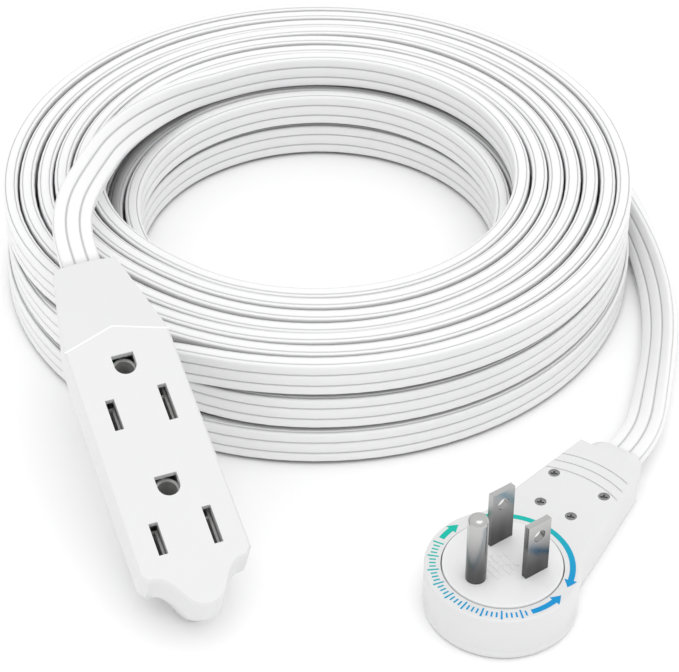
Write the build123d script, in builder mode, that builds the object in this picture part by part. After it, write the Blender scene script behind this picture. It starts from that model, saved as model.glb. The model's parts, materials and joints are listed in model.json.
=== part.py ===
"""Flat extension cord: a two-outlet tap, a coil of flat three-core cord and a plug whose pins rotate.

Millimetres. +Z is up from the surface that the cord lies on, and +Y runs along the tap to its cord end.
The origin is under the middle of the tap. The tap leans on the coil, so its pieces are drawn on the
leaning plane TAP: x across, y to the cord end, z out of the outlet face. The plug lies flat with its
pins up and is drawn on PLUG: x along the neck to the cord. What turns with the pins is on ROTOR.
"""

import math
import os

from build123d import *

# Cord
CORD_WIDTH = 10.0
CORD_THICK = 4.2
LEAD_TUBE = 7.0  # a round tube of about the flat cord's section
CORE_R = 1.0

# Coil: three tiers of turns, the cord standing on edge
COIL_X, COIL_Y = 75.6, 83.4
TIER = 10.06
TOP_IN, TOP_OUT = 51.8, 82.7
MIDDLE_IN = 47.3
BOTTOM_IN, BOTTOM_OUT = 48.0, 83.7
COIL_ROUND = 1.8

# Tap, heights measured down from its outlet face
LEAN = 23.0
TAP_X, TAP_Y, TAP_Z = 0.0, 0.9, 36.7
TAP_THICK = 20.5
PARTING = 9.0
TAP_END = 42.3
TAP_TIP = -50.1
TAP_HALF = 13.0
TAP_ROUND = 0.5
BOTTOM_SIDE_INSET, BOTTOM_END_INSET = 3.8, 4.6
POCKET_TAPER = 21.8
TAP_WALL = 1.8
POCKET_LONG, POCKET_WIDE, POCKET_MID = 56.2, 22.2, -10.6
OUTLETS = (0.0, -31.9)
BLADE_GAP = 12.7
GROUND_OFFSET = 11.89
SLOT_WIDE = 2.1
HOT_SLOT, NEUTRAL_SLOT = 7.9, 9.3
GROUND_HOLE = 5.3
SOCKET_R, SOCKET_WALL = 2.44, 0.7
LEAF, LEAF_GAP, LEAF_LONG = 0.6, 1.7, 7.0
LEAF_TOP, LEAF_LOW, LEAF_END = 5.0, 12.0, 10.0
SOCKET_TOP = 3.5
CARRIER_TOP, CARRIER_LOW = 3.4, 12.8
CARRIER_HALF = 9.2
CARRIER_FROM, CARRIER_TO, CHANNEL_FROM = -37.1, 14.9, -36.4
TAIL_START = 24.0
CLAMP_AT = 28.5

# Plug, on PLUG
PLUG_X, PLUG_Y = 66.5, -53.5
NECK_TURN = 31.8
DISC_R = 17.8
PLUG_TOP = 12.4
PLUG_PARTING = 2.4
OPENING_R = 14.05
CAVITY_R = 15.6
LIP_UNDER = 9.5
NECK_END = 46.7
NECK_HALF_END = 8.15
NECK_HALF_ROOT = 14.6
NECK_WALL = 1.4
NECK_CEILING = 10.7
CORD_AXIS = 6.2
SCREWS = ((32.6, 6.85), (32.6, -6.85), (22.4, 4.15), (22.4, -4.15))
SCREW_HEAD = 2.7
HEAD_DEPTH = 0.9
SHANK_R = 0.9
BOSS_R = 1.4
BOSS_TOP = 8.2
ARC_R = 24.5
ARC_TIPS = (41.2, 38.3, 35.4)  # the farthest first, as each circle clears what is inside it
GROOVE = 0.35
RELIEF_START, RELIEF_OUT = 35.0, 52.4
PLUG_TAIL_START = 29.5

# Rotating pin carrier, on ROTOR
ROTOR_TURN = 13.9
ROTOR_R = 13.75
FLANGE_R, FLANGE_TOP = 15.2, 9.2
ROTOR_TOP = 12.9
DISC_LOW = 7.2
TAIL_Z = 5.8
PIN_CENTRE = 4.1
BLADE_WIDE, BLADE_THICK, BLADE_LONG = 6.35, 1.52, 15.9
BLADE_HOLE_R, BLADE_HOLE_DOWN = 1.6, 4.3
PIN_R, PIN_LONG = 2.375, 18.7
PIN_TAIL_R = 1.9
FIT = 0.05
PIVOT_R, PIVOT_TOP = 1.5, 6.9
CARRIER_HIGH = 4.0
RING_LOW, RING_TOP = 3.2, 4.4
LUG_LOW, LUG_TOP, LUG_END = 2.5, 2.9, 17.6
BRUSH_FOOT, BRUSH_ARM = 4.7, 5.2
# name: inner radius, outer radius, and the turn of the ring's lug from the neck
RINGS = {"line": (12.6, 14.4, 24.0), "neutral": (9.2, 11.0, -24.0), "ground": (5.0, 6.8, 0.0)}

# The free cord's routes, from the tap and from the plug
TAP_LEAD = (
    (0.0, 44.5, 45.4),
    (0.0, 50.2, 47.8),
    (1.5, 57.3, 49.5),
    (4.6, 64.8, 49.6),
    (8.7, 72.9, 47.6),
    (13.1, 81.8, 44.3),
    (17.7, 91.1, 40.6),
    (23.0, 100.8, 37.4),
    (29.0, 110.0, 34.4),
    (35.0, 118.9, 31.4),
    (41.0, 126.5, 28.2),
)
PLUG_LEAD = (
    (111.0, -25.9, 6.2),
    (115.6, -23.0, 5.9),
    (122.7, -16.4, 5.1),
    (129.9, -6.4, 4.4),
    (137.2, 4.2, 4.0),
    (144.4, 15.9, 3.9),
    (150.5, 28.9, 3.9),
    (155.2, 43.0, 4.0),
    (158.8, 57.8, 4.4),
    (161.5, 74.5, 4.8),
    (161.3, 92.5, 5.1),
    (157.0, 109.0, 4.9),
    (149.2, 122.6, 5.1),
)

TAP = Plane(
    origin=(TAP_X, TAP_Y, TAP_Z),
    x_dir=(1, 0, 0),
    z_dir=(0, -math.sin(math.radians(LEAN)), math.cos(math.radians(LEAN))),
)
PLUG = Plane(origin=(PLUG_X, PLUG_Y, 0)).rotated((0, 0, NECK_TURN))
ROTOR = Plane(origin=(PLUG_X, PLUG_Y, 0)).rotated((0, 0, ROTOR_TURN))


def save(part, name):
    """Labels a finished piece and writes its STEP."""
    part.label = name
    export_step(part, f"parts/{name}.step")


def across_tap(along, down):
    """The plane across the tap at a depth: x to the side, y into the tap, z toward the cord end."""
    return Plane(TAP.from_local_coords((0, along, -down)), x_dir=TAP.x_dir, z_dir=TAP.y_dir)


def across_neck(along, height):
    """The plane across the plug's neck: x to the side, y up, z toward the cord."""
    return Plane(PLUG.from_local_coords((along, 0, height)), x_dir=PLUG.y_dir, z_dir=PLUG.x_dir)


def tap_outline(side_inset, end_inset):
    """The tap's outline: narrow cord end, straight sides, a rounded tongue at the far end."""
    middle = (TAP_END + TAP_TIP) / 2
    across = 1 - side_inset / TAP_HALF
    along = 1 - end_inset / (TAP_END - middle)
    side = [(7.5, TAP_END), (12.6, 18.2), (TAP_HALF, -39.4), (11.6, -41.2)]
    tongue = [(8.2, -42.2), (5.9, -45.2), (3.3, -48.9), (0, TAP_TIP)]
    side = [(x * across, middle + (y - middle) * along) for x, y in side]
    tongue = [(x * across, middle + (y - middle) * along) for x, y in tongue]
    mirrored = [(-x, y) for x, y in side]
    with BuildLine() as line:
        Polyline(*side)
        Polyline(*mirrored)
        Line(mirrored[0], side[0])
        returning = [(-x, y) for x, y in tongue[-2::-1]]
        Spline(side[-1], *tongue, *returning, mirrored[-1])
    return line


def neck_outline(inset, end):
    """The neck's outline, narrowing from the disc's middle to its end."""
    root, tip = NECK_HALF_ROOT - inset, NECK_HALF_END - inset
    with BuildLine() as line:
        Polyline((0, -root), (end, -tip), (end, tip), (0, root), close=True)
    return line


def flat_section(width, thick):
    """A flat cord's section, its edges half round."""
    RectangleRounded(width, thick, thick / 2 - 0.05)


def route_radii(points):
    """The largest tangent arc at each corner of a route: 0.45 of the shorter run over tan(half turn)."""
    radii = []
    for before, here, after in zip(points, points[1:], points[2:]):
        arriving = Vector(*here) - Vector(*before)
        leaving = Vector(*after) - Vector(*here)
        turn = math.radians(arriving.get_angle(leaving))
        radii.append(0.45 * min(arriving.length, leaving.length) / math.tan(turn / 2))
    return radii


def cord_tube(points, name):
    """A free stretch of the cord, as a plain tube along straight runs and tangent arcs."""
    radii = route_radii(points)
    with BuildPart() as tube:
        with BuildLine() as route:
            FilletPolyline(*points, radius=radii)
        start = Plane(origin=route.line @ 0, z_dir=route.line % 0)
        with BuildSketch(start):
            Circle(LEAD_TUBE / 2)
        sweep(path=route.line)
    length = route.wire().length
    expected = math.pi * (LEAD_TUBE / 2) ** 2 * length
    print(name, "length", round(length, 1), "radii", [round(r) for r in radii])
    print(name, "volume", round(tube.part.volume), "section times length", round(expected))
    save(tube.part, name)


def core_wire(points, bend, name):
    """A short insulated core inside the tap or the plug."""
    with BuildPart() as wire:
        with BuildLine() as route:
            FilletPolyline(*points, radius=bend)
        with BuildSketch(Plane(origin=route.line @ 0, z_dir=route.line % 0)):
            Circle(CORE_R)
        sweep(path=route.line)
    save(wire.part, name)


os.makedirs("parts", exist_ok=True)
pocket_centre = (0, POCKET_MID)

# ------------------------------------------------------------------ tap covers
with BuildPart() as tap_cover_top:
    with BuildSketch(TAP.offset(-PARTING)):
        add(tap_outline(0, 0))
        make_face()
    extrude(amount=PARTING)
    outlet_face = tap_cover_top.faces().sort_by(Axis(TAP.origin, TAP.z_dir))[-1]
    chamfer(outlet_face.edges(), length=TAP_ROUND)
    # the cord end slopes down on two faces that meet in a faint ridge
    for sign in (1, -1):
        shoulder = TAP.from_local_coords((sign * 12.1, 18.2, 0))
        apex = TAP.from_local_coords((0, 22.2, 0))
        ridge = TAP.from_local_coords((0, TAP_END, -4.0))
        outward = (shoulder - apex).cross(ridge - apex) * sign
        slope = Plane(apex, x_dir=ridge - apex, z_dir=outward)
        with BuildSketch(slope):
            with Locations((0, -sign * 17)):
                Rectangle(80, 40)
        extrude(amount=12, mode=Mode.SUBTRACT)
    with BuildSketch(TAP.offset(-PARTING)):
        with Locations(pocket_centre):
            Rectangle(POCKET_WIDE, POCKET_LONG)
    extrude(amount=PARTING - TAP_WALL, mode=Mode.SUBTRACT)
    # the channel that the cord comes in by
    with BuildSketch(TAP.offset(-PARTING)):
        with Locations((0, 24)):
            Rectangle(14.6, 17)
    extrude(amount=4.4, mode=Mode.SUBTRACT)
    with BuildSketch(across_tap(TAP_END - 12, PARTING)):
        Rectangle(12.8, 7.0)
    extrude(amount=20, mode=Mode.SUBTRACT)
    # blade slots and ground holes
    for outlet in OUTLETS:
        with BuildSketch(TAP.offset(-PARTING)):
            with Locations((-BLADE_GAP / 2, outlet)):
                Rectangle(SLOT_WIDE, HOT_SLOT)
            with Locations((BLADE_GAP / 2, outlet)):
                Rectangle(SLOT_WIDE, NEUTRAL_SLOT)
            with Locations((0, outlet + GROUND_OFFSET)):
                Circle(GROUND_HOLE / 2)
                Rectangle(GROUND_HOLE, GROUND_HOLE / 2, align=(Align.CENTER, Align.MIN))
        extrude(amount=PARTING + 1, mode=Mode.SUBTRACT)
save(tap_cover_top.part, "tap_cover_top")

with BuildPart() as tap_cover_bottom:
    with BuildSketch(TAP.offset(-PARTING)):
        add(tap_outline(0, 0))
        make_face()
    with BuildSketch(TAP.offset(-TAP_THICK)):
        add(tap_outline(BOTTOM_SIDE_INSET, BOTTOM_END_INSET))
        make_face()
    loft()
    with BuildSketch(TAP.offset(-PARTING)):
        with Locations(pocket_centre):
            Rectangle(POCKET_WIDE, POCKET_LONG)
    extrude(amount=-(TAP_THICK - PARTING - TAP_WALL), taper=POCKET_TAPER, mode=Mode.SUBTRACT)
    with BuildSketch(TAP.offset(-PARTING)):
        with Locations((0, 24)):
            Rectangle(14.6, 17)
    extrude(amount=-3.0, mode=Mode.SUBTRACT)
    with BuildSketch(across_tap(TAP_END - 12, PARTING)):
        Rectangle(12.8, 7.0)
    extrude(amount=20, mode=Mode.SUBTRACT)
    # the ground pins' tips need a little more depth
    for outlet in OUTLETS:
        with BuildSketch(TAP.offset(-PARTING)):
            with Locations((0, outlet + GROUND_OFFSET)):
                Circle(GROUND_HOLE / 2)
        extrude(amount=-(TAP_THICK - PARTING - 0.9), mode=Mode.SUBTRACT)
save(tap_cover_bottom.part, "tap_cover_bottom")

# ---------------------------------------------------------------- tap contacts
blade_slots = [(side * BLADE_GAP / 2, outlet) for side in (-1, 1) for outlet in OUTLETS]
ground_holes = [(0, outlet + GROUND_OFFSET) for outlet in OUTLETS]

with BuildPart() as contact_carrier:
    with BuildSketch(TAP.offset(-CARRIER_LOW)):
        with Locations((0, (CARRIER_FROM + CARRIER_TO) / 2)):
            Rectangle(2 * CARRIER_HALF, CARRIER_TO - CARRIER_FROM)
    extrude(amount=CARRIER_LOW - CARRIER_TOP)
    with BuildSketch(TAP.offset(-LEAF_LOW)):
        with Locations(*[(x, CHANNEL_FROM) for x in (-BLADE_GAP / 2, BLADE_GAP / 2)]):
            Rectangle(3.4, CARRIER_TO - CHANNEL_FROM + 1, align=(Align.CENTER, Align.MIN))
        with Locations((0, CHANNEL_FROM)):
            Rectangle(6.8, CARRIER_TO - CHANNEL_FROM + 1, align=(Align.CENTER, Align.MIN))
    extrude(amount=LEAF_LOW, mode=Mode.SUBTRACT)
    with BuildSketch(TAP.offset(-CARRIER_LOW)):
        with Locations(*blade_slots):
            Rectangle(SLOT_WIDE, HOT_SLOT)
        with Locations(*ground_holes):
            Circle(GROUND_HOLE / 2)
    extrude(amount=CARRIER_LOW, mode=Mode.SUBTRACT)
save(contact_carrier.part, "contact_carrier")

leaf_from = OUTLETS[1] - LEAF_LONG / 2 - LEAF
for name, side in (("line_contact_strip", -1), ("neutral_contact_strip", 1)):
    outer_leaf = side * (BLADE_GAP + LEAF_GAP + LEAF) / 2
    inner_leaf = side * (BLADE_GAP - LEAF_GAP - LEAF) / 2
    straps = [(side * BLADE_GAP / 2, y + end * (LEAF_LONG + LEAF) / 2) for y in OUTLETS for end in (-1, 1)]
    with BuildPart() as strip:
        with BuildSketch(TAP.offset(-LEAF_LOW)):
            with Locations((outer_leaf, leaf_from)):
                Rectangle(LEAF, LEAF_END - leaf_from, align=(Align.CENTER, Align.MIN))
            with Locations(*[(inner_leaf, y) for y in OUTLETS]):
                Rectangle(LEAF, LEAF_LONG + 2 * LEAF)
            with Locations(*straps, (side * BLADE_GAP / 2, LEAF_END - LEAF / 2)):
                Rectangle(LEAF_GAP + 2 * LEAF, LEAF)
        extrude(amount=LEAF_LOW - LEAF_TOP)
    save(strip.part, name)

with BuildPart() as ground_contact_strip:
    with BuildSketch(TAP.offset(-LEAF_LOW)):
        with Locations((0, sum(OUTLETS) / 2 + GROUND_OFFSET)):
            Rectangle(1.0, OUTLETS[0] - OUTLETS[1])
        with Locations(*ground_holes):
            Circle(SOCKET_R + SOCKET_WALL)
            Circle(SOCKET_R, mode=Mode.SUBTRACT)
    extrude(amount=LEAF_LOW - SOCKET_TOP)
save(ground_contact_strip.part, "ground_contact_strip")

# ------------------------------------------------------------ cord into the tap
with BuildPart() as tap_cord_tail:
    with BuildSketch(across_tap(TAIL_START, PARTING)):
        flat_section(CORD_WIDTH, CORD_THICK)
    extrude(amount=TAP_END + 1.2 - TAIL_START)
save(tap_cord_tail.part, "tap_cord_tail")

with BuildPart() as tap_strain_relief:
    with BuildSketch(across_tap(TAP_END - 11.9, PARTING)):
        RectangleRounded(12.7, 6.9, 2.4)
    with BuildSketch(across_tap(TAP_END + 1.2, PARTING)):
        RectangleRounded(11.8, 6.2, 2.4)
    loft()
    with BuildSketch(across_tap(TAP_END - 12.9, PARTING)):
        flat_section(CORD_WIDTH, CORD_THICK)
    extrude(amount=20, mode=Mode.SUBTRACT)
save(tap_strain_relief.part, "tap_strain_relief")

with BuildPart() as tap_cord_clamp:
    with BuildSketch(across_tap(CLAMP_AT - 2, PARTING - CORD_THICK / 2 - 0.7)):
        Rectangle(14.2, 1.4)
    extrude(amount=3)
save(tap_cord_clamp.part, "tap_cord_clamp")

for name, side in (("tap_line_core", -1), ("tap_neutral_core", 1)):
    turned = ((3.2, 24, -9), (3.2, 21.0, -9), (6.35, 15.4, -8.6), (6.35, LEAF_END, -8.6))
    core_wire([TAP.from_local_coords((side * x, y, z)) for x, y, z in turned], 1.6, name)
ground_core = ((0, 24, -9), (0, 19.5, -9), (0, 15.1, -8.6))
core_wire([TAP.from_local_coords(point) for point in ground_core], 1.6, "tap_ground_core")

# -------------------------------------------------------------------- the cord
with BuildPart() as cord_coil:
    with BuildSketch(Plane(origin=(COIL_X, COIL_Y, 0), x_dir=(1, 0, 0), z_dir=(0, -1, 0))):
        with BuildLine():
            Polyline(
                (BOTTOM_IN, 0),
                (BOTTOM_OUT, 0),
                (BOTTOM_OUT, TIER),
                (TOP_OUT, TIER),
                (TOP_OUT, 3 * TIER - COIL_ROUND),
                (TOP_OUT - COIL_ROUND, 3 * TIER),
                (TOP_IN + COIL_ROUND, 3 * TIER),
                (TOP_IN, 3 * TIER - COIL_ROUND),
                (TOP_IN, 2 * TIER),
                (MIDDLE_IN, 2 * TIER),
                (MIDDLE_IN, TIER),
                (BOTTOM_IN, TIER),
                close=True,
            )
        make_face()
    revolve(axis=Axis((COIL_X, COIL_Y, 0), (0, 0, 1)))
save(cord_coil.part, "cord_coil")

cord_tube(TAP_LEAD, "cord_tap_lead")
cord_tube(PLUG_LEAD, "cord_plug_lead")

# ----------------------------------------------------------------- plug covers
with BuildPart() as plug_face_cover:
    with BuildSketch(PLUG.offset(PLUG_PARTING)):
        Circle(DISC_R)
        add(neck_outline(0, NECK_END))
        make_face()
    extrude(amount=PLUG_TOP - PLUG_PARTING)
    top_face = plug_face_cover.faces().sort_by(Axis.Z)[-1]
    fillet(top_face.edges(), radius=0.5)
    with BuildSketch(PLUG.offset(PLUG_PARTING)):
        Circle(CAVITY_R)
    extrude(amount=LIP_UNDER - PLUG_PARTING, mode=Mode.SUBTRACT)
    with BuildSketch(PLUG.offset(PLUG_PARTING)):
        Circle(OPENING_R)
    extrude(amount=PLUG_TOP, mode=Mode.SUBTRACT)
    with BuildSketch(PLUG.offset(PLUG_PARTING)):
        add(neck_outline(NECK_WALL, NECK_END - NECK_WALL))
        make_face()
        with Locations((0, 0)):
            Rectangle(2 * 16.4, 60, mode=Mode.SUBTRACT)
    extrude(amount=NECK_CEILING - PLUG_PARTING, mode=Mode.SUBTRACT)
    with BuildSketch(PLUG.offset(PLUG_PARTING)):
        with Locations((15.5, 0)):
            Rectangle(4.0, 18.0)
    extrude(amount=LIP_UNDER - PLUG_PARTING, mode=Mode.SUBTRACT)
    # the way out for the strain relief
    with BuildSketch(PLUG.offset(PLUG_PARTING)):
        with Locations((NECK_END, 0)):
            Rectangle(8, 12.2)
    extrude(amount=9.6 - PLUG_PARTING, mode=Mode.SUBTRACT)
    # screws: shank holes and round recesses for the heads
    with BuildSketch(PLUG.offset(PLUG_PARTING)):
        with Locations(*SCREWS):
            Circle(SHANK_R + FIT)
    extrude(amount=PLUG_TOP, mode=Mode.SUBTRACT)
    with BuildSketch(PLUG.offset(PLUG_TOP - HEAD_DEPTH)):
        with Locations(*SCREWS):
            Circle(SCREW_HEAD / 2 + FIT)
    extrude(amount=PLUG_TOP, mode=Mode.SUBTRACT)
    # three arched grooves across the neck
    with BuildSketch(PLUG.offset(PLUG_TOP - GROOVE)):
        for tip in ARC_TIPS:
            with Locations((tip - ARC_R, 0)):
                Circle(ARC_R + GROOVE / 2)
                Circle(ARC_R - GROOVE / 2, mode=Mode.SUBTRACT)
        with Locations((-30, 0)):
            Rectangle(2 * 55, 80, mode=Mode.SUBTRACT)
    extrude(amount=2, mode=Mode.SUBTRACT)
save(plug_face_cover.part, "plug_face_cover")

with BuildPart() as plug_base_cover:
    with BuildSketch(PLUG):
        Circle(DISC_R)
        add(neck_outline(0, NECK_END))
        make_face()
    extrude(amount=PLUG_PARTING)
    fillet(plug_base_cover.faces().sort_by(Axis.Z)[0].edges(), radius=1.2)
    with BuildSketch(PLUG.offset(PLUG_PARTING)):
        with Locations(*SCREWS):
            Circle(BOSS_R)
    extrude(amount=BOSS_TOP - PLUG_PARTING)
    with BuildSketch(PLUG.offset(PLUG_PARTING)):
        with Locations(*SCREWS):
            Circle(SHANK_R)
    extrude(amount=BOSS_TOP, mode=Mode.SUBTRACT)
save(plug_base_cover.part, "plug_base_cover")

with BuildPart() as plug_screws:
    with BuildSketch(PLUG.offset(PLUG_TOP - HEAD_DEPTH)):
        with Locations(*SCREWS):
            Circle(SCREW_HEAD / 2)
    extrude(amount=HEAD_DEPTH - 0.25)
    with BuildSketch(PLUG.offset(PLUG_PARTING + 0.3)):
        with Locations(*SCREWS):
            Circle(SHANK_R)
    extrude(amount=PLUG_TOP - HEAD_DEPTH - PLUG_PARTING - 0.3)
    # cross recesses
    with BuildSketch(PLUG.offset(PLUG_TOP - 0.75)):
        for turn in (25, 115):
            with Locations(*SCREWS):
                with Locations(Location((0, 0, 0), turn)):
                    Rectangle(1.7, 0.45)
    extrude(amount=2, mode=Mode.SUBTRACT)
save(plug_screws.part, "plug_screws")

# --------------------------------------------------------- cord into the plug
with BuildPart() as plug_cord_tail:
    with BuildSketch(across_neck(PLUG_TAIL_START, CORD_AXIS)):
        flat_section(CORD_WIDTH, CORD_THICK)
    extrude(amount=RELIEF_OUT - PLUG_TAIL_START)
save(plug_cord_tail.part, "plug_cord_tail")

with BuildPart() as plug_strain_relief:
    with BuildSketch(across_neck(RELIEF_START, CORD_AXIS)):
        RectangleRounded(12.0, 6.6, 2.2)
    extrude(amount=NECK_END - RELIEF_START + 0.1)
    with BuildSketch(across_neck(NECK_END + 0.1, CORD_AXIS)):
        RectangleRounded(14.2, 10.2, 3.4)
    with BuildSketch(across_neck(NECK_END + 3.4, CORD_AXIS)):
        RectangleRounded(13.6, 9.2, 3.3)
    with BuildSketch(across_neck(RELIEF_OUT, CORD_AXIS)):
        RectangleRounded(11.2, 6.2, 2.7)
    loft()
    with BuildSketch(across_neck(RELIEF_START - 1, CORD_AXIS)):
        flat_section(CORD_WIDTH, CORD_THICK)
    extrude(amount=30, mode=Mode.SUBTRACT)
save(plug_strain_relief.part, "plug_strain_relief")

with BuildPart() as plug_cord_clamp:
    clamp_low = CORD_AXIS + CORD_THICK / 2
    with BuildSketch(PLUG.offset(clamp_low)):
        with Locations((SCREWS[0][0], 0)):
            RectangleRounded(3.6, 2 * 8.0, 1.2)
            with Locations(*[(0, y) for _, y in SCREWS[:2]]):
                Circle(SHANK_R + FIT, mode=Mode.SUBTRACT)
    extrude(amount=1.6)
save(plug_cord_clamp.part, "plug_cord_clamp")

# -------------------------------------------------------- slip rings in the plug
with BuildPart() as ring_carrier:
    with BuildSketch(PLUG.offset(PLUG_PARTING)):
        Circle(FLANGE_R)
        Circle(PIVOT_R, mode=Mode.SUBTRACT)
    extrude(amount=CARRIER_HIGH - PLUG_PARTING)
    with BuildSketch(PLUG.offset(RING_LOW)):
        for inner, outer, _ in RINGS.values():
            with BuildSketch(mode=Mode.PRIVATE) as seat:
                Circle(outer)
                Circle(inner, mode=Mode.SUBTRACT)
            add(seat.sketch)
    extrude(amount=2, mode=Mode.SUBTRACT)
    # each ring's lug runs out below the other rings
    for inner, outer, turn in RINGS.values():
        with BuildSketch(PLUG.rotated((0, 0, turn)).offset(PLUG_PARTING)):
            with Locations((inner, 0)):
                Rectangle(20, 2.2, align=(Align.MIN, Align.CENTER))
        extrude(amount=RING_LOW - PLUG_PARTING, mode=Mode.SUBTRACT)
save(ring_carrier.part, "ring_carrier")

for name, (inner, outer, turn) in RINGS.items():
    with BuildPart() as ring:
        with BuildSketch(PLUG.offset(RING_LOW)):
            Circle(outer)
            Circle(inner, mode=Mode.SUBTRACT)
        extrude(amount=RING_TOP - RING_LOW)
        with BuildSketch(PLUG.rotated((0, 0, turn)).offset(LUG_LOW)):
            with Locations((inner + 0.2, 0)):
                Rectangle(outer - inner - 0.4, 1.8, align=(Align.MIN, Align.CENTER))
        extrude(amount=RING_LOW - LUG_LOW)
        with BuildSketch(PLUG.rotated((0, 0, turn)).offset(LUG_LOW)):
            with Locations((inner + 0.2, 0)):
                Rectangle(LUG_END - inner - 0.2, 1.8, align=(Align.MIN, Align.CENTER))
        extrude(amount=LUG_TOP - LUG_LOW)
    save(ring.part, f"{name}_slip_ring")

with BuildPart() as rotor_pivot:
    with BuildSketch(PLUG.offset(PLUG_PARTING)):
        Circle(PIVOT_R)
    extrude(amount=PIVOT_TOP - PLUG_PARTING)
    chamfer(rotor_pivot.faces().sort_by(Axis.Z)[-1].edges(), length=0.3)
save(rotor_pivot.part, "rotor_pivot")

for name, side in (("plug_line_core", 1), ("plug_neutral_core", -1)):
    bent = ((29.5, 3.2, 6.2), (27.4, 3.2, 6.2), (24.5, 7.5, 5.6), (20.5, 7.7, 4.4), (16.4, 7.2, 3.95))
    core_wire([PLUG.from_local_coords((x, side * y, z)) for x, y, z in bent], 1.8, name)
straight = ((29.5, 0, 6.2), (26.6, 0, 6.2), (21.0, 0, 4.2), (17.0, 0, 3.95))
core_wire([PLUG.from_local_coords(point) for point in straight], 1.8, "plug_ground_core")

# ---------------------------------------------------------- rotating pin carrier
ground_at = PIN_CENTRE - GROUND_OFFSET
blades_at = [(PIN_CENTRE, side * BLADE_GAP / 2) for side in (-1, 1)]
rotor_screws_at = [(-3.0, side * 9.6) for side in (-1, 1)]

with BuildPart() as rotor_disc:
    with BuildSketch(ROTOR.offset(DISC_LOW)):
        Circle(ROTOR_R)
    extrude(amount=ROTOR_TOP - DISC_LOW)
    fillet(rotor_disc.faces().sort_by(Axis.Z)[-1].edges(), radius=0.4)
    with BuildSketch(ROTOR.offset(DISC_LOW)):
        Circle(FLANGE_R)
    extrude(amount=FLANGE_TOP - DISC_LOW)
    with BuildSketch(ROTOR.offset(DISC_LOW)):
        with Locations(*blades_at):
            Rectangle(BLADE_WIDE, BLADE_THICK)
        with Locations((ground_at, 0)):
            Circle(PIN_TAIL_R)
    extrude(amount=10, mode=Mode.SUBTRACT)
    with BuildSketch(ROTOR.offset(DISC_LOW)):
        with Locations(*rotor_screws_at):
            Circle(0.7)
    extrude(amount=3.2, mode=Mode.SUBTRACT)
save(rotor_disc.part, "rotor_disc")

with BuildPart() as rotor_back_plate:
    with BuildSketch(ROTOR.offset(TAIL_Z)):
        Circle(13)
        Circle(PIVOT_R + FIT, mode=Mode.SUBTRACT)
        with Locations(*blades_at):
            Rectangle(BLADE_WIDE, BLADE_THICK, mode=Mode.SUBTRACT)
        with Locations((ground_at, 0)):
            Circle(PIN_TAIL_R, mode=Mode.SUBTRACT)
        with Locations(*rotor_screws_at):
            Circle(0.7, mode=Mode.SUBTRACT)
    extrude(amount=DISC_LOW - TAIL_Z)
save(rotor_back_plate.part, "rotor_back_plate")

with BuildPart() as rotor_screws:
    with BuildSketch(ROTOR.offset(TAIL_Z)):
        with Locations(*rotor_screws_at):
            Circle(0.7)
    extrude(amount=DISC_LOW + 3.0 - TAIL_Z)
    with BuildSketch(ROTOR.offset(TAIL_Z - 0.6)):
        with Locations(*rotor_screws_at):
            Circle(1.3)
    extrude(amount=0.6)
save(rotor_screws.part, "rotor_screws")

blade_top = ROTOR_TOP + BLADE_LONG
for name, at in (("neutral_blade", blades_at[0]), ("line_blade", blades_at[1])):
    with BuildPart() as blade:
        with BuildSketch(ROTOR.offset(TAIL_Z)):
            with Locations(at):
                Rectangle(BLADE_WIDE, BLADE_THICK)
        extrude(amount=blade_top - TAIL_Z)
        chamfer(blade.faces().sort_by(Axis.Z)[-1].edges(), length=0.5)
        bore_at = ROTOR.from_local_coords((at[0], at[1] - 5, blade_top - BLADE_HOLE_DOWN))
        with BuildSketch(Plane(bore_at, x_dir=ROTOR.x_dir, z_dir=ROTOR.y_dir)):
            Circle(BLADE_HOLE_R)
        extrude(amount=10, mode=Mode.SUBTRACT)
    save(blade.part, name)

with BuildPart() as ground_pin:
    with BuildSketch(ROTOR.offset(ROTOR_TOP)):
        with Locations((ground_at, 0)):
            Circle(PIN_R)
    extrude(amount=PIN_LONG)
    fillet(ground_pin.faces().sort_by(Axis.Z)[-1].edges(), radius=1.6)
    with BuildSketch(ROTOR.offset(TAIL_Z)):
        with Locations((ground_at, 0)):
            Circle(PIN_TAIL_R)
    extrude(amount=ROTOR_TOP - TAIL_Z)
save(ground_pin.part, "ground_pin")

# each brush: an arm below its pin and a foot that runs over its ring
blade_reach = math.hypot(*blades_at[1])
blade_angle = math.degrees(math.atan2(blades_at[1][1], blades_at[1][0]))
brushes = {
    "line": (blade_angle, blade_reach),
    "neutral": (-blade_angle, blade_reach),
    "ground": (180, -ground_at),
}
for name, (angle, reach) in brushes.items():
    inner, outer, _ = RINGS[name]
    nearest = min(inner + 0.2, reach - 1.2)
    farthest = max(outer - 0.2, reach + 1.2)
    turned = ROTOR.rotated((0, 0, angle))
    with BuildPart() as brush:
        with BuildSketch(turned.offset(BRUSH_ARM)):
            with Locations(((nearest + farthest) / 2, 0)):
                Rectangle(farthest - nearest, 2.4)
        extrude(amount=TAIL_Z - BRUSH_ARM)
        with BuildSketch(turned.offset(BRUSH_FOOT)):
            with Locations(((inner + outer) / 2, 0)):
                Rectangle(outer - inner - 0.4, 2.4)
        extrude(amount=BRUSH_ARM - BRUSH_FOOT)
    save(brush.part, f"{name}_brush")
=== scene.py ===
"""Looks for the flat extension cord: its coiled cord, moulded plastic, printed arrows, light and camera."""

import json
import math

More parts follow.
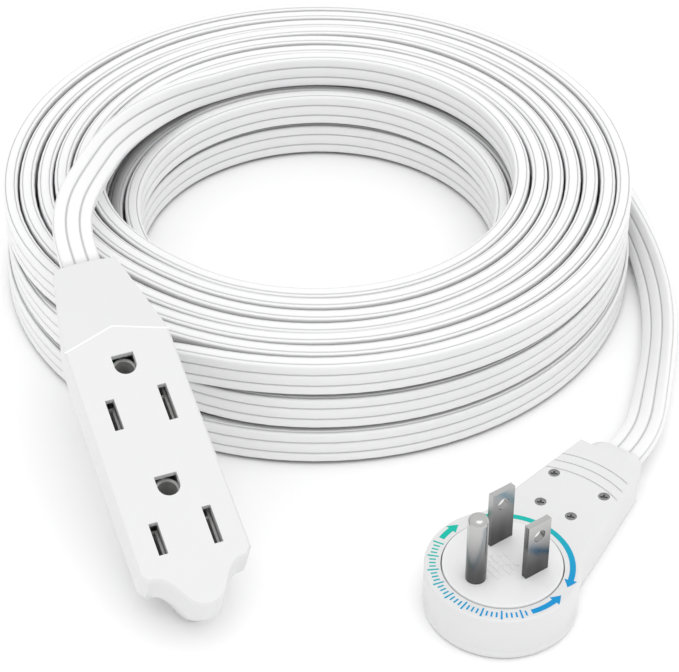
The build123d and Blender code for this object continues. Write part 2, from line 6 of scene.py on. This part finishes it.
import bpy
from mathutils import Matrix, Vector


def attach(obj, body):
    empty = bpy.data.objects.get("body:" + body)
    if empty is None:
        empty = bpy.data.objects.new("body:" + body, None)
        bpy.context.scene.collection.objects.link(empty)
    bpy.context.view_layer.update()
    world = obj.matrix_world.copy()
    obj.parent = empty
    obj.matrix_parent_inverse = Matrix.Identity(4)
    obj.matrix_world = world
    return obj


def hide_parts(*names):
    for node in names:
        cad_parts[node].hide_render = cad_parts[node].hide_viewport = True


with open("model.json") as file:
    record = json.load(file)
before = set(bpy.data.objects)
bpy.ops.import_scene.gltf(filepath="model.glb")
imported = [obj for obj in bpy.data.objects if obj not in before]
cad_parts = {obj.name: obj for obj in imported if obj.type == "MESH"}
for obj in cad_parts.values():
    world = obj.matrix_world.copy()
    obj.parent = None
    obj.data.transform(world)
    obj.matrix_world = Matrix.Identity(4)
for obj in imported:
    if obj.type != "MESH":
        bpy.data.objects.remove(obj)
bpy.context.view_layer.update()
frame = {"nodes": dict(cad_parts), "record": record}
nodes = frame["nodes"]
MM = 0.001

# ---------------------------------------------------------------- the places
# The tap's leaning plane, the plug's neck and the pin carrier, as in the CAD source.
LEAN = math.radians(23.0)
TAP_ORIGIN = Vector((0.0, 0.9, 36.7)) * MM
TAP_Y = Vector((0.0, math.cos(LEAN), math.sin(LEAN)))
TAP_Z = Vector((0.0, -math.sin(LEAN), math.cos(LEAN)))
PLUG_CENTRE = Vector((66.5, -53.5, 0.0)) * MM
NECK_TURN = math.radians(31.8)
ROTOR_TURN = math.radians(13.9)
COIL_CENTRE = Vector((75.6, 83.4, 0.0)) * MM
VIEW_TURN = math.radians(21.88)  # the camera's heading; the coil's angles are counted from its right
VIEW_DOWN = math.radians(39.48)
VIEW_FROM = Vector((-107.0, -386.7, 387.1)) * MM
PLUG_TOP, ROTOR_TOP = 12.4, 12.9


def on_tap(x, y, z):
    """A point given across, along and out of the tap's face, in millimetres."""
    return TAP_ORIGIN + Vector((x * MM, 0, 0)) + TAP_Y * (y * MM) + TAP_Z * (z * MM)


def on_plug(x, y, z, turn=NECK_TURN):
    """A point given along the neck, to its left and up, in millimetres."""
    c, s = math.cos(turn), math.sin(turn)
    return PLUG_CENTRE + Vector((x * c - y * s, x * s + y * c, z)) * MM


def on_coil(angle, radius, z):
    """A point of the coil by its angle in degrees, anticlockwise from the camera's right."""
    a = math.radians(angle) - VIEW_TURN
    return COIL_CENTRE + Vector((radius * math.cos(a), radius * math.sin(a), z)) * MM


# ---------------------------------------------------------------- the camera
camera_data = bpy.data.cameras.new("camera")
camera = bpy.data.objects.new("camera", camera_data)
bpy.context.scene.collection.objects.link(camera)
camera.location = VIEW_FROM
camera.rotation_euler = (math.radians(90) - VIEW_DOWN, 0, -VIEW_TURN)
camera_data.lens = 123.7
camera_data.sensor_width = 36
camera_data.clip_start = 0.01
camera_data.clip_end = 20
bpy.context.scene.camera = camera

# ------------------------------------------------------------------ the cord
CORD_WIDTH, CORD_THICK = 9.55, 3.95

# Each point: x, y, z in millimetres and the roll: 0 lies flat, 90 stands on edge.
TAP_LEAD = (
    (0.0, 44.5, 45.4, 0),
    (0.0, 50.2, 47.8, 2),
    (1.5, 57.3, 49.5, 8),
    (4.6, 64.8, 49.6, 15),
    (8.7, 72.9, 47.6, 20),
    (13.1, 81.8, 44.3, 24),
    (17.7, 91.1, 40.6, 28),
    (23.0, 100.8, 37.4, 34),
    (29.3, 110.0, 34.4, 45),
    (36.8, 118.7, 31.6, 58),
    (45.4, 126.6, 28.9, 72),
    (54.6, 133.1, 26.6, 84),
)
PLUG_LEAD = (
    (157.0, 109.0, 5.0, 88),
    (161.3, 92.5, 5.0, 85),
    (161.5, 74.5, 4.9, 76),
    (158.8, 57.8, 4.7, 62),
    (155.2, 43.0, 4.3, 48),
    (150.5, 28.9, 4.0, 40),
    (144.4, 15.9, 3.9, 36),
    (137.2, 4.2, 4.0, 32),
    (129.9, -6.4, 4.4, 24),
    (122.7, -16.4, 5.1, 12),
    (115.6, -23.0, 5.9, 3),
    (111.0, -25.9, 6.2, 0),
)

# The coil's places for a turn, from the top tier's inside to the bottom tier's outside: radius, height
TOP_Z, MIDDLE_Z, BOTTOM_Z = TIERS = 25.15, 15.1, 5.03
TOP_TURNS, MIDDLE_TURNS, BOTTOM_TURNS = 7, 8, 8
TOP_INSIDE, MIDDLE_OUTSIDE, BOTTOM_INSIDE = 54.0, 80.8, 50.1
PITCH, BOTTOM_PITCH = 4.47, 4.5
places = [(TOP_INSIDE + PITCH * k, TOP_Z) for k in range(TOP_TURNS)]
places += [(MIDDLE_OUTSIDE - PITCH * k, MIDDLE_Z) for k in range(MIDDLE_TURNS)]
places += [(BOTTOM_INSIDE + BOTTOM_PITCH * k, BOTTOM_Z) for k in range(BOTTOM_TURNS)]
# Where each turn crosses to the next place, in degrees, with half the crossing's spread
crossings = [(210 + 2.4 * k, 22) for k in range(6)] + [(232, 16)]
crossings += [(240 + 6 * k, 18) for k in range(7)] + [(284, 16)]
crossings += [(c, 18) for c in (294, 312, 332, 352, 372, 384, 395)]
TURNS = len(crossings)
COIL_START, COIL_END = 125.0, 60.0 - 360 * TURNS
POINTS_A_TURN = 24
ON_EDGE = 90  # the roll in the coil
ON_THE_FLOOR = BOTTOM_Z + 4  # below this a turn belongs to the bottom tier
# a quadratic curve runs inside its control points by this much at this many points a turn
PULL = 0.75 + 0.25 * math.cos(2 * math.pi / POINTS_A_TURN)
CROSSING_BULGE = 2.3  # how far a turn swings out, or in, to pass to the next tier
# How a hand-wound turn strays, outward and up: size, waves in a turn, and shift from turn to turn
SWAY_OUT = ((0.10, 2, 1.7), (0.05, 5, 2.9))
SWAY_UP = ((0.22, 1, 2.3), (0.12, 3, 1.1))
PROUD = 0.35  # how far the top tier's middle stands up in front
# the last stretch leaves the outside turn for the plug: where it starts, its arc and how far out it goes
LEAVING_FROM, LEAVING_ARC, LEAVING_OUT = COIL_END + 16, 30, 2.2


def eased(t):
    """From 0 to 1, slow at both ends."""
    t = min(1.0, max(0.0, t))
    return t * t * (3 - 2 * t)


def turn_place(travel):
    """The cord's radius and height in the coil at an angle that falls from COIL_START to COIL_END."""
    radius, z = places[0]
    for k, (angle, spread) in enumerate(crossings):
        centre = angle - 360 * (k + 1)
        share = (centre + spread - travel) / (2 * spread)
        if share <= 0:
            break
        (r0, z0), (r1, z1) = places[k], places[k + 1]
        s = eased(share)
        radius += (r1 - r0) * s
        z += (z1 - z0) * s
        if z1 != z0 and share < 1:
            bulge = CROSSING_BULGE * math.sin(math.pi * share) ** 2
            radius += bulge if z0 == TOP_Z else -bulge
    return radius, z


def sway(waves, travel):
    """How far a turn strays from its place at an angle."""
    turn = int((COIL_START - travel) // 360)
    a = math.radians(travel)
    return sum(size * math.sin(a * count + turn * shift) for size, count, shift in waves)


route = [Vector(p[:3]) * MM for p in TAP_LEAD]
rolls = [p[3] for p in TAP_LEAD]
steps = round((COIL_START - COIL_END) / 360 * POINTS_A_TURN)
for i in range(steps + 1):
    travel = COIL_START + (COIL_END - COIL_START) * i / steps
    radius, z = turn_place(travel)
    out = sway(SWAY_OUT, travel) + LEAVING_OUT * eased((LEAVING_FROM - travel) / LEAVING_ARC)
    # the top tier sits a little proud in front, and the bottom one lies on the floor
    up = sway(SWAY_UP, travel)
    up += PROUD * eased((z - MIDDLE_Z) / (TOP_Z - MIDDLE_Z)) * (1 - math.sin(math.radians(travel)))
    if z < ON_THE_FLOOR:
        up = 0.0
    route.append(on_coil(travel, (radius + out) / PULL, z + up))
    rolls.append(ON_EDGE)
route += [Vector(p[:3]) * MM for p in PLUG_LEAD]
rolls += [p[3] for p in PLUG_LEAD]

line = bpy.data.curves.new("cord_line", "CURVE")
line.dimensions = "3D"
line.resolution_u = 4
spline = line.splines.new("NURBS")
spline.points.add(len(route) - 1)
for point, place in zip(spline.points, route):
    point.co = (*place, 1)
spline.order_u = 3
spline.use_endpoint_u = True
line_object = bpy.data.objects.new("cord_line", line)
bpy.context.scene.collection.objects.link(line_object)
bpy.context.view_layer.update()
evaluated = line_object.evaluated_get(bpy.context.evaluated_depsgraph_get())
read = bpy.data.meshes.new_from_object(evaluated)
centres = [v.co.copy() for v in read.vertices]
bpy.data.objects.remove(line_object)
bpy.data.meshes.remove(read)


def roll_at(share):
    """The roll a share of the way along the control points; a curve's middle lies between two of them."""
    spans = len(rolls) - 2
    k = min(max(share * spans + 0.5, 0), len(rolls) - 1)
    low = min(int(k), len(rolls) - 2)
    return math.radians(rolls[low] + (rolls[low + 1] - rolls[low]) * (k - low))


# The section's rounded edge with its fine line: how far in from the side, and how far under the face
EDGE = (
    (1.0, 0.0),
    (0.66, 0.06),
    (0.42, 0.26),
    (0.18, 0.68),
    (0.33, 0.77),
    (0.31, 0.93),
    (0.04, 1.02),
    (0.0, 1.2),
)
# The two grooves in each wide face: how far out from the groove's middle, and how far under the face
GROOVE = ((0.50, 0.0), (0.30, 0.07), (0.16, 0.44))
GROOVE_AT = 1.65
HALF, RISE = CORD_WIDTH / 2, CORD_THICK / 2


def cord_section():
    """The flat cord's outline, across and out of its wide face, with fine lines on its edges and faces."""
    edge = [(HALF - across, RISE - deep) for across, deep in EDGE]
    outline = [(x, -y) for x, y in edge] + edge[::-1]
    top = []
    for groove in (GROOVE_AT, -GROOVE_AT):
        top += [(groove + across, RISE - deep) for across, deep in GROOVE]
        top += [(groove - across, RISE - deep) for across, deep in GROOVE[::-1]]
    outline += top
    outline += [(-x, -y) for x, y in outline[: len(edge) * 2]]
    outline += [(-x, -y) for x, y in top]
    return outline


def swept(name, path, outline, width_at):
    """A mesh tube of a section's outline along a path; width_at gives the section's first direction."""
    vertices, faces, n = [], [], len(outline)
    for i, here in enumerate(path):
        ahead = path[min(i + 1, len(path) - 1)] - path[max(i - 1, 0)]
        tangent = ahead.normalized()
        wide = width_at(i, tangent)
        face = tangent.cross(wide)
        vertices += [here + wide * (x * MM) + face * (y * MM) for x, y in outline]
    for i in range(len(path) - 1):
        for k in range(n):
            a, b = i * n + k, i * n + (k + 1) % n
            faces.append((a, b, b + n, a + n))
    faces.append(tuple(range(n))[::-1])
    faces.append(tuple(range(len(vertices) - n, len(vertices))))
    mesh = bpy.data.meshes.new(name)
    mesh.from_pydata([tuple(v) for v in vertices], [], faces)
    mesh.update()
    piece = bpy.data.objects.new(name, mesh)
    bpy.context.scene.collection.objects.link(piece)
    return piece


def cord_width(i, tangent):
    """The direction across the cord's wide face at a point of its middle line."""
    left = Vector((0, 0, 1)).cross(tangent).normalized()
    above = tangent.cross(left)
    roll = roll_at(i / (len(centres) - 1))
    return (left * math.cos(roll) + above * math.sin(roll)).normalized()


def ramp(value, start, end):
    """From 0 at start to 1 at end, start being the larger or the smaller of the two."""
    return min(1.0, max(0.0, (value - start) / (end - start)))


# Painted shade: how dark the cord's colour is made in its grooves and edge lines, and then under a tier, on
# top of it and between turns
GROOVE_DARK, LINE_DARK = 0.34, 0.4
UNDER_DARK, COVERED_DARK, BETWEEN_DARK = 1.0, 0.8, 0.28
# From which radius to which a tier comes to be covered by the one above, at its inside and its outside
COVERED_INSIDE, COVERED_OUTSIDE = (51.5, 54.0), (80.8, 78.0)
# From which radius to which a turn of each tier comes to have a neighbour inside it, and outside it
TURN_INSIDE = ((57.5, 60.5), (52.0, 55.0), (52.5, 55.5))
TURN_OUTSIDE = ((79.5, 76.8), (79.5, 76.8), (80.3, 77.6))
EDGE_REACH = 0.5  # how far in from the side the section's edge goes
WOUND_IN = 40  # over so many points the darkness comes and goes at the coil's two ends


def painted_crevice_shade(place, index, x, y):
    """How much painted shade a point of the cord's section gets, 0 to 1: in its grooves, or against its
    neighbours.
    """
    dark = 0.0
    if abs(y) < RISE - 0.3 and abs(x) < HALF - EDGE_REACH:
        dark = GROOVE_DARK
    elif HALF - 0.35 < abs(x) < HALF - 0.3:
        dark = LINE_DARK
    wound = ramp(index, first_wound, first_wound + WOUND_IN)
    wound *= ramp(index, last_wound, last_wound - WOUND_IN)
    if wound == 0:
        return dark
    radius = (Vector(place[:2]) - COIL_CENTRE.xy).length / MM
    tier = min(range(len(TIERS)), key=lambda k: abs(place[2] / MM - TIERS[k]))
    if x < EDGE_REACH - HALF:
        against = UNDER_DARK
    elif x > HALF - EDGE_REACH:
        against = COVERED_DARK * ramp(radius - y, *COVERED_INSIDE) * ramp(radius - y, *COVERED_OUTSIDE)
        if tier == 0:
            against = 0.0
    else:
        side = TURN_INSIDE if y > 0 else TURN_OUTSIDE
        against = BETWEEN_DARK * ramp(radius, *side[tier])
    return max(dark, against * wound)


section = cord_section()
cord = swept("flat_cord", centres, section, cord_width)
first_wound = int(len(TAP_LEAD) / len(route) * len(centres)) + 8
last_wound = int((1 - len(PLUG_LEAD) / len(route)) * len(centres)) - 8
# painted shade: how dark each point of the cord is coloured, kept on the mesh
shadow = cord.data.attributes.new("painted_crevice_shade", "FLOAT", "POINT")
painted_shades = [painted_crevice_shade(here, i, x, y) for i, here in enumerate(centres) for x, y in section]
shadow.data.foreach_set("value", painted_shades)
for polygon in cord.data.polygons:
    polygon.use_smooth = True
cord_long = sum((b - a).length for a, b in zip(centres, centres[1:]))
print("cord length", round(cord_long, 3), "points", len(centres))
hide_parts("cord_coil", "cord_tap_lead", "cord_plug_lead")
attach(cord, "cord")
PLUG_ENDINGS = ("_slip_ring", "_brush", "_blade")
on_the_plug = [n for n in nodes if n.startswith("plug_") or n.endswith(PLUG_ENDINGS)]
on_the_plug += ["ring_carrier", "rotor_pivot", "rotor_disc"]
on_the_plug += ["rotor_back_plate", "rotor_screws", "ground_pin"]

# -------------------------------------------------------- print, raised marks and a painted highlight
RING_MIDDLE = 15.85
# an arrow's head along the ring in degrees, its half widths, and the number of steps in its body
HEAD = 8.5
BODY_HALF, HEAD_HALF, HEAD_MIDDLE_HALF, TIP_HALF = 0.68, 1.5, 0.77, 0.03
BODY_STEPS = 24
# the tick marks: how many, the first angle, the step, and their half lengths and half width in degrees
TICKS, FIRST_TICK, TICK_STEP = 34, 100.5, 4
LONG_TICK, SHORT_TICK, TICK_SPREAD = 1.3, 0.75, 0.75
# how far the marks go into their surface, and how far the ink, the ridge's painted highlight strip and the
# dashes stand out
SUNK, INK_OUT, RIDGE_IN, RIDGE_OUT, DASH_OUT = 0.02, 0.025, 0.06, 0.03, 0.14


def slab(name, outlines, low, high, place):
    """Thin plates between two heights, each outline a list of (a, b) corners for place(a, b, z)."""
    vertices, faces = [], []
    for outline in outlines:
        first, n = len(vertices), len(outline)
        vertices += [place(a, b, low) for a, b in outline] + [place(a, b, high) for a, b in outline]
        faces.append(tuple(range(first + n, first + 2 * n)))
        faces.append(tuple(range(first, first + n))[::-1])
        for k in range(n):
            after = (k + 1) % n
            faces.append((first + k, first + after, first + n + after, first + n + k))
    mesh = bpy.data.meshes.new(name)
    mesh.from_pydata([tuple(v) for v in vertices], [], faces)
    mesh.update()
    piece = bpy.data.objects.new(name, mesh)
    bpy.context.scene.collection.objects.link(piece)
    return piece


def on_ring(angle, radius, z):
    """A point over the plug's ring by its angle from the neck, anticlockwise, and its radius."""
    a = math.radians(angle)
    return on_plug(radius * math.cos(a), radius * math.sin(a), z)


def arrow(start, end, both=False):
    """Short pieces of an arrow along the ring, from its tail to its head, or with a head at each end."""
    way = 1 if end > start else -1
    body_start = start + way * HEAD if both else start
    body_end = end - way * HEAD
    step = (body_end - body_start) / BODY_STEPS
    body = [(body_start + step * k, BODY_HALF) for k in range(BODY_STEPS + 1)]
    half_head = way * HEAD / 2
    runs = [body, [(body_end, HEAD_HALF), (end - half_head, HEAD_MIDDLE_HALF), (end, TIP_HALF)]]
    if both:
        runs.append([(start, TIP_HALF), (start + half_head, HEAD_MIDDLE_HALF), (body_start, HEAD_HALF)])
    outlines = []
    for run in runs:
        inner = [(angle, RING_MIDDLE - half) for angle, half in run]
        outer = [(angle, RING_MIDDLE + half) for angle, half in run]
        outline = outer + inner[::-1]
        outlines.append(outline if way < 0 else outline[::-1])
    return outlines


marks = arrow(61, -81, both=True) + arrow(94.75, 73) + arrow(-122.75, -91.85)
for k in range(TICKS):
    angle = FIRST_TICK + TICK_STEP * k
    reach = LONG_TICK if k % 4 == 0 else SHORT_TICK
    inner, outer = RING_MIDDLE - reach, RING_MIDDLE + reach
    before, after = angle - TICK_SPREAD, angle + TICK_SPREAD
    marks.append([(after, inner), (after, outer), (before, outer), (before, inner)])
ring_print = slab("ring_print", marks, PLUG_TOP - SUNK, PLUG_TOP + INK_OUT, on_ring)

# generic raised dashes between the pins
DASH_ROWS = ((2.2, 1.4, 2.6), (1.6, 2.8, 1.4), (2.4, 1.2, 1.8, 0.9), (1.2, 2.6, 1.6), (3.0, 2.0))
FIRST_ROW, ROW_STEP, DASH_GAP, DASH_HALF = -4.0, 1.55, 0.55, 0.32
dashes = []
for row, lengths in enumerate(DASH_ROWS):
    left = FIRST_ROW + ROW_STEP * row - DASH_HALF
    right = FIRST_ROW + ROW_STEP * row + DASH_HALF
    y = -(sum(lengths) + DASH_GAP * (len(lengths) - 1)) / 2
    for length in lengths:
        dashes.append([(left, y), (right, y), (right, y + length), (left, y + length)])
        y += length + DASH_GAP


def on_rotor(x, y, z):
    """A point given along the pin carrier's own line, to its left and up, in millimetres."""
    return on_plug(x, y, z, ROTOR_TURN)


# painted highlight: a thin lighter strip lies along the tap's ridge, where the outlet face meets the two
# slopes
ridge = [
    [(-12.5, 17.95), (0.0, 21.95), (0.0, 22.4), (-12.6, 18.4)],
    [(0.0, 21.95), (12.5, 17.95), (12.6, 18.4), (0.0, 22.4)],
]
ridge_painted_highlight = slab("ridge_painted_highlight", ridge, -RIDGE_IN, RIDGE_OUT, on_tap)
rotor_marks = slab("rotor_marks", dashes, ROTOR_TOP - SUNK, ROTOR_TOP + DASH_OUT, on_rotor)
for piece, slot, body in (
    (ring_print, "print", "cord"),
    (ridge_painted_highlight, "housing", "cord"),
    (rotor_marks, "rotor_face", "rotor"),
):
    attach(piece, body)

# ------------------------------------------------------------- materials


BLOTCH_SCALE, STREAK_SCALE = 45, 420
COAT_ROUGH = 0.2
GRAIN_DEEP = 0.0001


def material(
    name, colour, shade, rough, spread, grain, bump, metallic=0.0, coat=0.0, streak=None, fade=None
):
    """A moulded, drawn or plated finish: blotches of shade and roughness with a fine grain in its surface.

    streak stretches the blotches and the grain. fade is a second colour with the points between which it
    comes in.
    """
    made = bpy.data.materials.new(name)
    made.use_nodes = True
    tree = made.node_tree
    shader = tree.nodes["Principled BSDF"]
    shader.inputs["Metallic"].default_value = metallic
    shader.inputs["Coat Weight"].default_value = coat
    shader.inputs["Coat Roughness"].default_value = COAT_ROUGH
    place = tree.nodes.new("ShaderNodeTexCoord")
    where = place.outputs["Object"]
    if streak:
        stretch = tree.nodes.new("ShaderNodeMapping")
        stretch.inputs["Scale"].default_value = streak
        tree.links.new(place.outputs["Object"], stretch.inputs["Vector"])
        where = stretch.outputs["Vector"]
    blotch = tree.nodes.new("ShaderNodeTexNoise")
    blotch.inputs["Scale"].default_value = STREAK_SCALE if streak else BLOTCH_SCALE
    blotch.inputs["Detail"].default_value = 4
    tree.links.new(where, blotch.inputs["Vector"])
    tint = tree.nodes.new("ShaderNodeMix")
    tint.data_type = "RGBA"
    tint.inputs["A"].default_value = (*[c * (1 - shade) for c in colour], 1)
    tint.inputs["B"].default_value = (*colour, 1)
    tree.links.new(blotch.outputs["Fac"], tint.inputs["Factor"])
    shown = tint.outputs["Result"]
    if fade:
        other, start, end = fade
        run = Vector(end) - Vector(start)
        along = tree.nodes.new("ShaderNodeVectorMath")
        along.operation = "DOT_PRODUCT"
        along.inputs[1].default_value = run / run.length_squared
        tree.links.new(place.outputs["Object"], along.inputs[0])
        share = tree.nodes.new("ShaderNodeMapRange")
        share.interpolation_type = "SMOOTHSTEP"
        share.inputs["From Min"].default_value = Vector(start).dot(run) / run.length_squared
        share.inputs["From Max"].default_value = Vector(end).dot(run) / run.length_squared
        tree.links.new(along.outputs["Value"], share.inputs["Value"])
        turned = tree.nodes.new("ShaderNodeMix")
        turned.data_type = "RGBA"
        turned.inputs["B"].default_value = (*other, 1)
        tree.links.new(share.outputs["Result"], turned.inputs["Factor"])
        tree.links.new(shown, turned.inputs["A"])
        shown = turned.outputs["Result"]
    tree.links.new(shown, shader.inputs["Base Color"])
    dull = tree.nodes.new("ShaderNodeMapRange")
    dull.inputs["To Min"].default_value = rough - spread
    dull.inputs["To Max"].default_value = rough + spread
    tree.links.new(blotch.outputs["Fac"], dull.inputs["Value"])
    tree.links.new(dull.outputs["Result"], shader.inputs["Roughness"])
    fine = tree.nodes.new("ShaderNodeTexNoise")
    fine.inputs["Scale"].default_value = grain
    fine.inputs["Detail"].default_value = 3
    tree.links.new(where, fine.inputs["Vector"])
    relief = tree.nodes.new("ShaderNodeBump")
    relief.inputs["Strength"].default_value = bump
    relief.inputs["Distance"].default_value = GRAIN_DEEP
    tree.links.new(fine.outputs["Fac"], relief.inputs["Height"])
    tree.links.new(relief.outputs["Normal"], shader.inputs["Normal"])
    return made


def white(level):
    """A white or grey of a level, a touch cool."""
    return (level, level, level * 1.004)


JACKET = (white(0.86), 0.025, 0.42, 0.06, 1400, 0.12)
JACKET_COAT = 0.06
# the colour the jacket is darkened toward where its shade is painted
PAINTED_SHADE_COLOUR = (0.05, 0.05, 0.05, 1)
INK_SHINE = 0.12
# painted reflection: the pins' colour darkens toward the plug's face and brightens toward their tips
pin_painted_reflection = ((0.50, 0.50, 0.495), (0.0665, -0.0535, 0.0150), (0.0665, -0.0535, 0.0300))
# the print runs from teal at the coil's side to blue at the near side
print_fade = ((0.010, 0.28, 0.60), (0.0655, -0.0365, 0), (0.0680, -0.0690, 0))
finishes = {
    "housing": material("white_moulding", white(0.725), 0.02, 0.34, 0.04, 2600, 0.10, coat=0.12),
    "rotor_face": material("grained_moulding", white(0.80), 0.03, 0.5, 0.05, 5200, 0.35),
    "cord_jacket": material("vinyl_jacket", *JACKET, coat=JACKET_COAT),
    "relief": material("soft_moulding", white(0.74), 0.03, 0.45, 0.05, 2200, 0.2),
    "inner_plastic": material("natural_moulding", (0.78, 0.775, 0.76), 0.08, 0.5, 0.05, 2200, 0.2),
    "contact_brass": material(
        "plated_strip", (0.84, 0.84, 0.83), 0.12, 0.46, 0.08, 3000, 0.2, metallic=0.5
    ),
    # the pins' plating, with a painted reflection along their height
    "pin_metal": material(
        "nickel_plate_painted_reflection",
        (0.14, 0.14, 0.14),
        0.5,
        0.2,
        0.06,
        2600,
        0.12,
        metallic=1.0,
        streak=(1, 1, 0.03),
        fade=pin_painted_reflection,
    ),
    "screw_steel": material("zinc_plate", (0.36, 0.36, 0.365), 0.4, 0.34, 0.08, 3500, 0.25, metallic=1.0),
    "core_black": material("black_core", (0.02, 0.02, 0.02), 0.1, 0.4, 0.05, 2000, 0.1),
    "core_white": material("white_core", (0.7, 0.7, 0.7), 0.04, 0.4, 0.05, 2000, 0.1),
    "core_green": material("green_core", (0.03, 0.25, 0.07), 0.1, 0.4, 0.05, 2000, 0.1),
    "print": material("printed_ink", (0.010, 0.50, 0.39), 0.04, 0.5, 0.05, 3000, 0.1, fade=print_fade),
}
# ink soaks in and hardly shines
ink_shader = finishes["print"].node_tree.nodes["Principled BSDF"]
ink_shader.inputs["Specular IOR Level"].default_value = INK_SHINE
slot_of = {s["node"]: s["material_slot"] for s in frame["record"]["subparts"]}
for name, node in nodes.items():
    node.data.materials.clear()
    node.data.materials.append(finishes[slot_of[name]])
# painted shade: the jacket's colour darkens in its grooves and where turn lies against turn
jacket = material("coiled_jacket_painted_shade", *JACKET, coat=JACKET_COAT)
tree = jacket.node_tree
shader = tree.nodes["Principled BSDF"]
plain = shader.inputs["Base Color"].links[0].from_socket
deep = tree.nodes.new("ShaderNodeAttribute")
deep.attribute_name = "painted_crevice_shade"
dimmed = tree.nodes.new("ShaderNodeMix")
dimmed.data_type = "RGBA"
dimmed.inputs["B"].default_value = PAINTED_SHADE_COLOUR
tree.links.new(plain, dimmed.inputs["A"])
tree.links.new(deep.outputs["Fac"], dimmed.inputs["Factor"])
tree.links.new(dimmed.outputs["Result"], shader.inputs["Base Color"])
cord.data.materials.append(jacket)
ring_print.data.materials.append(finishes["print"])
rotor_marks.data.materials.append(finishes["rotor_face"])
# the lighter white of the ridge's painted highlight
ridge_highlight_finish = material("painted_highlight_edge", white(0.86), 0.04, 0.36, 0.04, 2600, 0.08, coat=0.12)
ridge_painted_highlight.data.materials.append(ridge_highlight_finish)

# moulded edges are a little round
WELD_WITHIN = 0.000002
SHARP_FROM = math.radians(28)
for name, width in (
    ("tap_cover_top", 0.45),
    ("tap_cover_bottom", 0.45),
    ("plug_face_cover", 0.3),
    ("plug_base_cover", 0.3),
    ("rotor_disc", 0.2),
    ("plug_strain_relief", 0.4),
):
    weld = nodes[name].modifiers.new("weld", "WELD")
    weld.merge_threshold = WELD_WITHIN
    bevel = nodes[name].modifiers.new("bevel", "BEVEL")
    bevel.width = width * MM
    bevel.segments = 3
    bevel.limit_method = "ANGLE"
    bevel.angle_limit = SHARP_FROM
    bevel.harden_normals = True

# ------------------------------------------------------------ floor and light
SKY_LOW, SKY_HIGH = 0.96, 1.04  # the world's light at the horizon and overhead
FLOOR_HALF = 4
FLOOR_DROP = 0.0002
SUN_ENERGY = 0.55
SUN_WIDE = math.radians(50)
SUN_WAY = Vector((-0.05, 0.2, -1.0))

world = bpy.data.worlds.new("world")
bpy.context.scene.world = world
world.use_nodes = True
sky = world.node_tree
direction = sky.nodes.new("ShaderNodeTexCoord")
split = sky.nodes.new("ShaderNodeSeparateXYZ")
sky.links.new(direction.outputs["Generated"], split.inputs["Vector"])
height = sky.nodes.new("ShaderNodeMapRange")
height.inputs["From Min"].default_value = 0.0
height.inputs["From Max"].default_value = 1.0
height.inputs["To Min"].default_value = SKY_LOW
height.inputs["To Max"].default_value = SKY_HIGH
sky.links.new(split.outputs["Z"], height.inputs["Value"])
sky.links.new(height.outputs["Result"], sky.nodes["Background"].inputs["Strength"])
sky.nodes["Background"].inputs["Color"].default_value = (1, 1, 1, 1)

floor_mesh = bpy.data.meshes.new("floor")
corners = [(x * FLOOR_HALF, y * FLOOR_HALF, 0) for x, y in ((-1, -1), (1, -1), (1, 1), (-1, 1))]
floor_mesh.from_pydata(corners, [], [(0, 1, 2, 3)])
floor = bpy.data.objects.new("floor", floor_mesh)
bpy.context.scene.collection.objects.link(floor)
floor.location.z = -FLOOR_DROP
floor_mesh.materials.append(material("paper", (0.98, 0.98, 0.98), 0.0, 0.8, 0.02, 900, 0.0))

sun_data = bpy.data.lights.new("sun", "SUN")
sun_data.energy = SUN_ENERGY
sun_data.angle = SUN_WIDE
sun = bpy.data.objects.new("sun", sun_data)
bpy.context.scene.collection.objects.link(sun)
sun.rotation_euler = SUN_WAY.to_track_quat("-Z", "Y").to_euler()
bpy.context.scene.view_settings.view_transform = "Standard"
